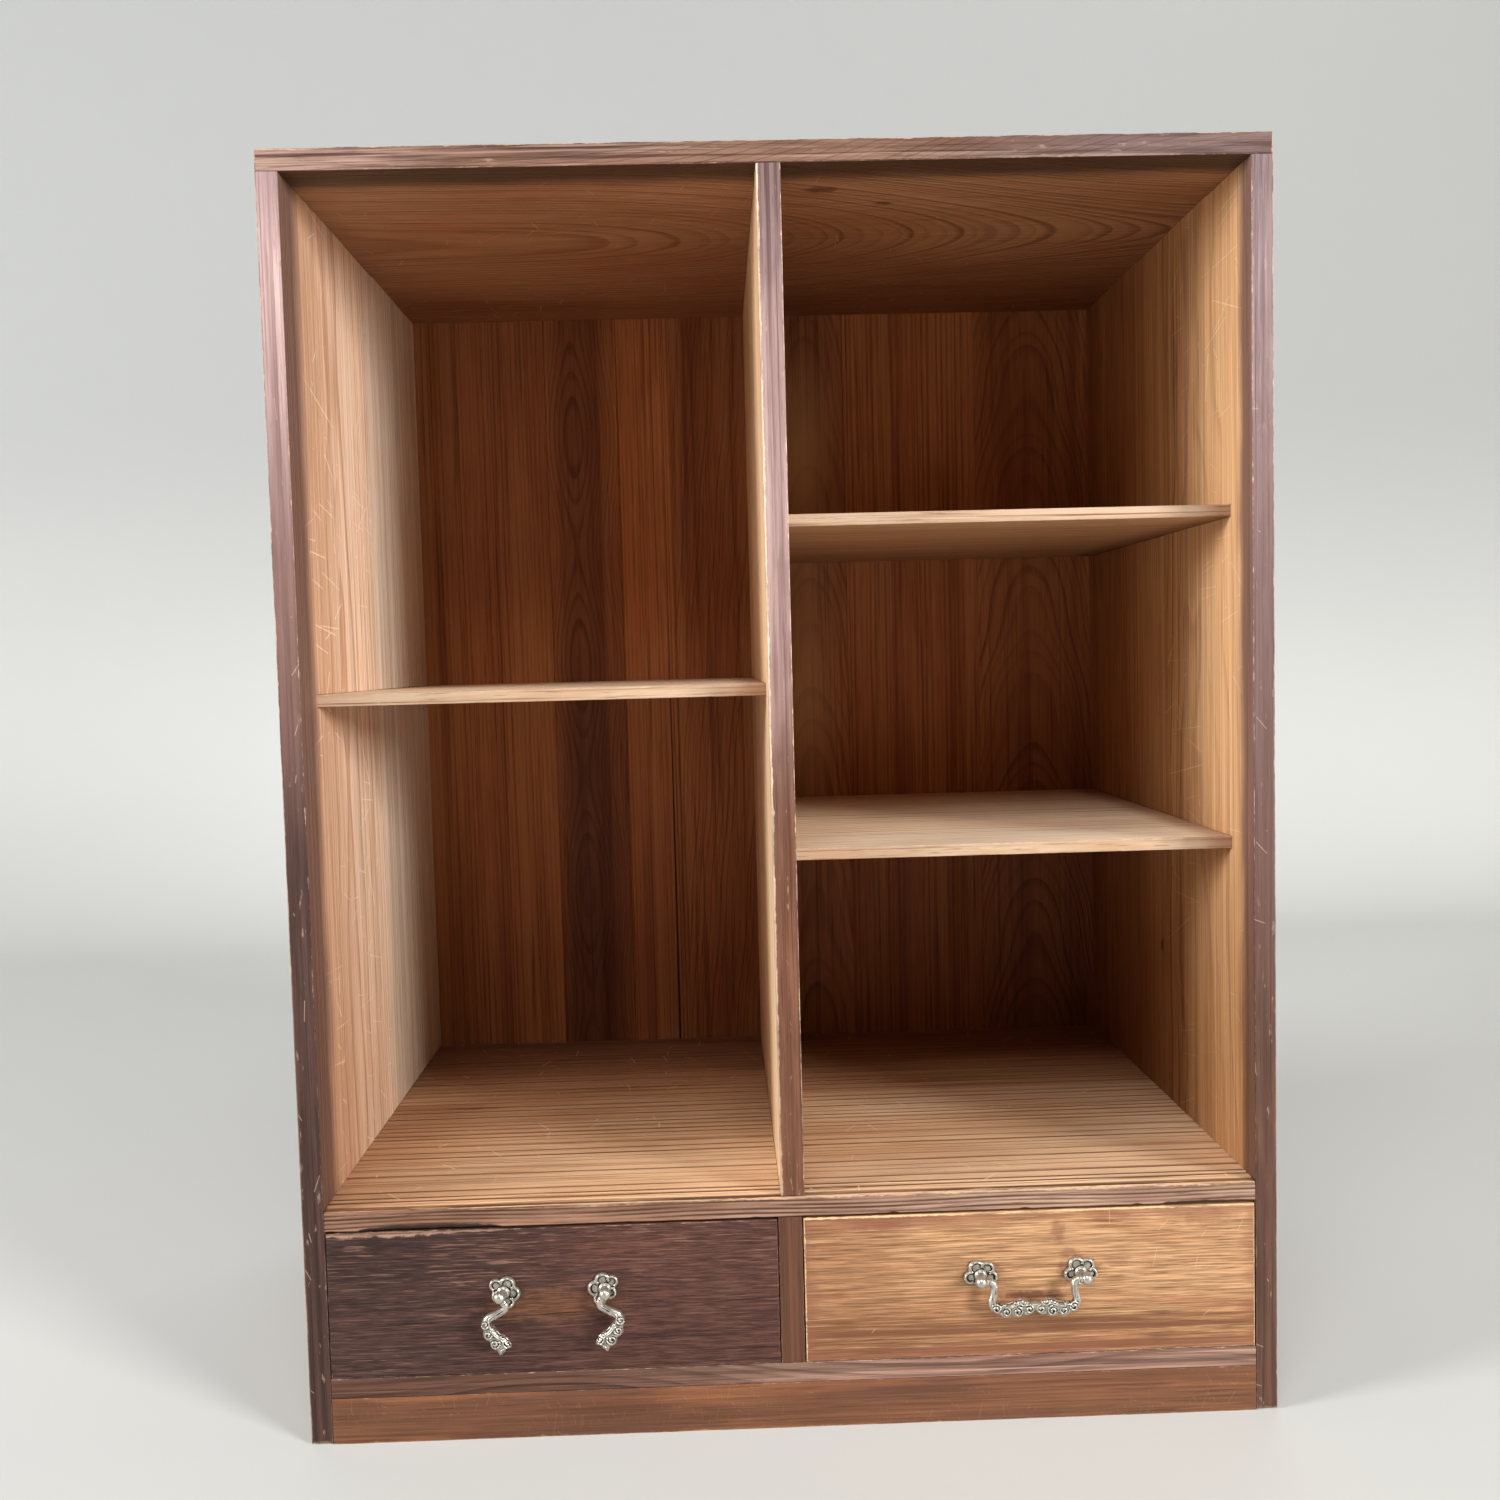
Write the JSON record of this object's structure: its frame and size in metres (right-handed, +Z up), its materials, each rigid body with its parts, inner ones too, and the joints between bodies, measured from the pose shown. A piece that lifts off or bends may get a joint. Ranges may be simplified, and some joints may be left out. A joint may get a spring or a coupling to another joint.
{
  "type": "choba tansu",
  "caption": "Open upright cedar tansu with a divided shelved upper part over side-by-side drawers on cast scroll bail pulls.",
  "frame": {"origin": "middle of the footprint of the whole object, pulls included, on the ground", "axes": "+X to the right seen from the front, +Y from the front to the back, +Z up"},
  "size_m": [0.7, 0.4714, 0.911],
  "materials": {
    "carcass_stained": "stained cedar, worn edges",
    "carcass_cedar": "bare cedar inside, stained front edge",
    "pale_cedar": "bare cedar, straight grain",
    "back_cedar": "dark red-brown cedar",
    "plinth_wood": "orange-brown stained cedar",
    "left_front_wood": "dark stained cedar, chipped upper edge",
    "right_front_wood": "worn tan cedar",
    "drawer_lining": "bare cedar",
    "pewter": "cast white metal, dark in the recesses"
  },
  "bodies": {
    "carcass": {"top_front_plank": "carcass_stained", "top_rear_plank": "carcass_stained", "bottom_front_plank": "carcass_stained", "bottom_rear_plank": "carcass_stained", "drawer_stile": "carcass_stained", "left_side_front_plank": "carcass_cedar", "left_side_rear_plank": "carcass_cedar", "right_side_front_plank": "carcass_cedar", "right_side_rear_plank": "carcass_cedar", "divider_front_plank": "carcass_cedar", "divider_rear_plank": "carcass_cedar", "left_shelf": "pale_cedar", "right_lower_shelf": "pale_cedar", "right_upper_shelf": "pale_cedar", "floor_front_plank": "pale_cedar", "floor_rear_plank": "pale_cedar", "drawer_guide": "pale_cedar", "back_plank_1": "back_cedar", "back_plank_2": "back_cedar", "back_plank_3": "back_cedar", "back_plank_4": "back_cedar", "back_plank_5": "back_cedar", "back_plank_6": "back_cedar", "plinth_board": "plinth_wood"},
    "left_drawer": {"left_drawer_front": "left_front_wood", "left_drawer_left_side": "drawer_lining", "left_drawer_right_side": "drawer_lining", "left_drawer_back": "drawer_lining", "left_drawer_bottom": "drawer_lining"},
    "left_pull_left_post": {"left_drawer_left_post": "pewter", "left_drawer_left_rosette": "pewter"},
    "left_pull_left_half": {"left_drawer_left_half_bail": "pewter"},
    "left_pull_right_post": {"left_drawer_right_post": "pewter", "left_drawer_right_rosette": "pewter"},
    "left_pull_right_half": {"left_drawer_right_half_bail": "pewter"},
    "right_drawer": {"right_drawer_front": "right_front_wood", "right_drawer_left_side": "drawer_lining", "right_drawer_right_side": "drawer_lining", "right_drawer_back": "drawer_lining", "right_drawer_bottom": "drawer_lining", "right_drawer_left_post": "pewter", "right_drawer_left_rosette": "pewter", "right_drawer_right_post": "pewter", "right_drawer_right_rosette": "pewter"},
    "right_bail": {"right_drawer_bail": "pewter"}
  },
  "joints": [
    {"name": "left_drawer_slide", "type": "slide", "parent": "carcass", "child": "left_drawer", "axis": [0, -1, 0], "range_m": [0, 0.33]},
    {"name": "right_drawer_slide", "type": "slide", "parent": "carcass", "child": "right_drawer", "axis": [0, -1, 0], "range_m": [0, 0.33]},
    {"name": "left_pull_left_post_turn", "type": "hinge", "parent": "left_drawer", "child": "left_pull_left_post", "pos_m": [-0.2089, -0.2193, 0.1083], "axis": [0, 1, 0], "range_deg": [-55, 45]},
    {"name": "left_pull_left_half_swing", "type": "hinge", "parent": "left_pull_left_post", "child": "left_pull_left_half", "pos_m": [-0.2089, -0.2313, 0.1083], "axis": [-0.5736, 0, 0.8192], "range_deg": [-15, 150]},
    {"name": "left_pull_right_post_turn", "type": "hinge", "parent": "left_drawer", "child": "left_pull_right_post", "pos_m": [-0.1364, -0.2193, 0.1083], "axis": [0, -1, 0], "range_deg": [-55, 45]},
    {"name": "left_pull_right_half_swing", "type": "hinge", "parent": "left_pull_right_post", "child": "left_pull_right_half", "pos_m": [-0.1364, -0.2313, 0.1083], "axis": [-0.5736, 0, -0.8192], "range_deg": [-15, 150]},
    {"name": "right_bail_swing", "type": "hinge", "parent": "right_drawer", "child": "right_bail", "pos_m": [0.17035, -0.2313, 0.1083], "axis": [-1, 0, 0], "range_deg": [-15, 150]}
  ]
}
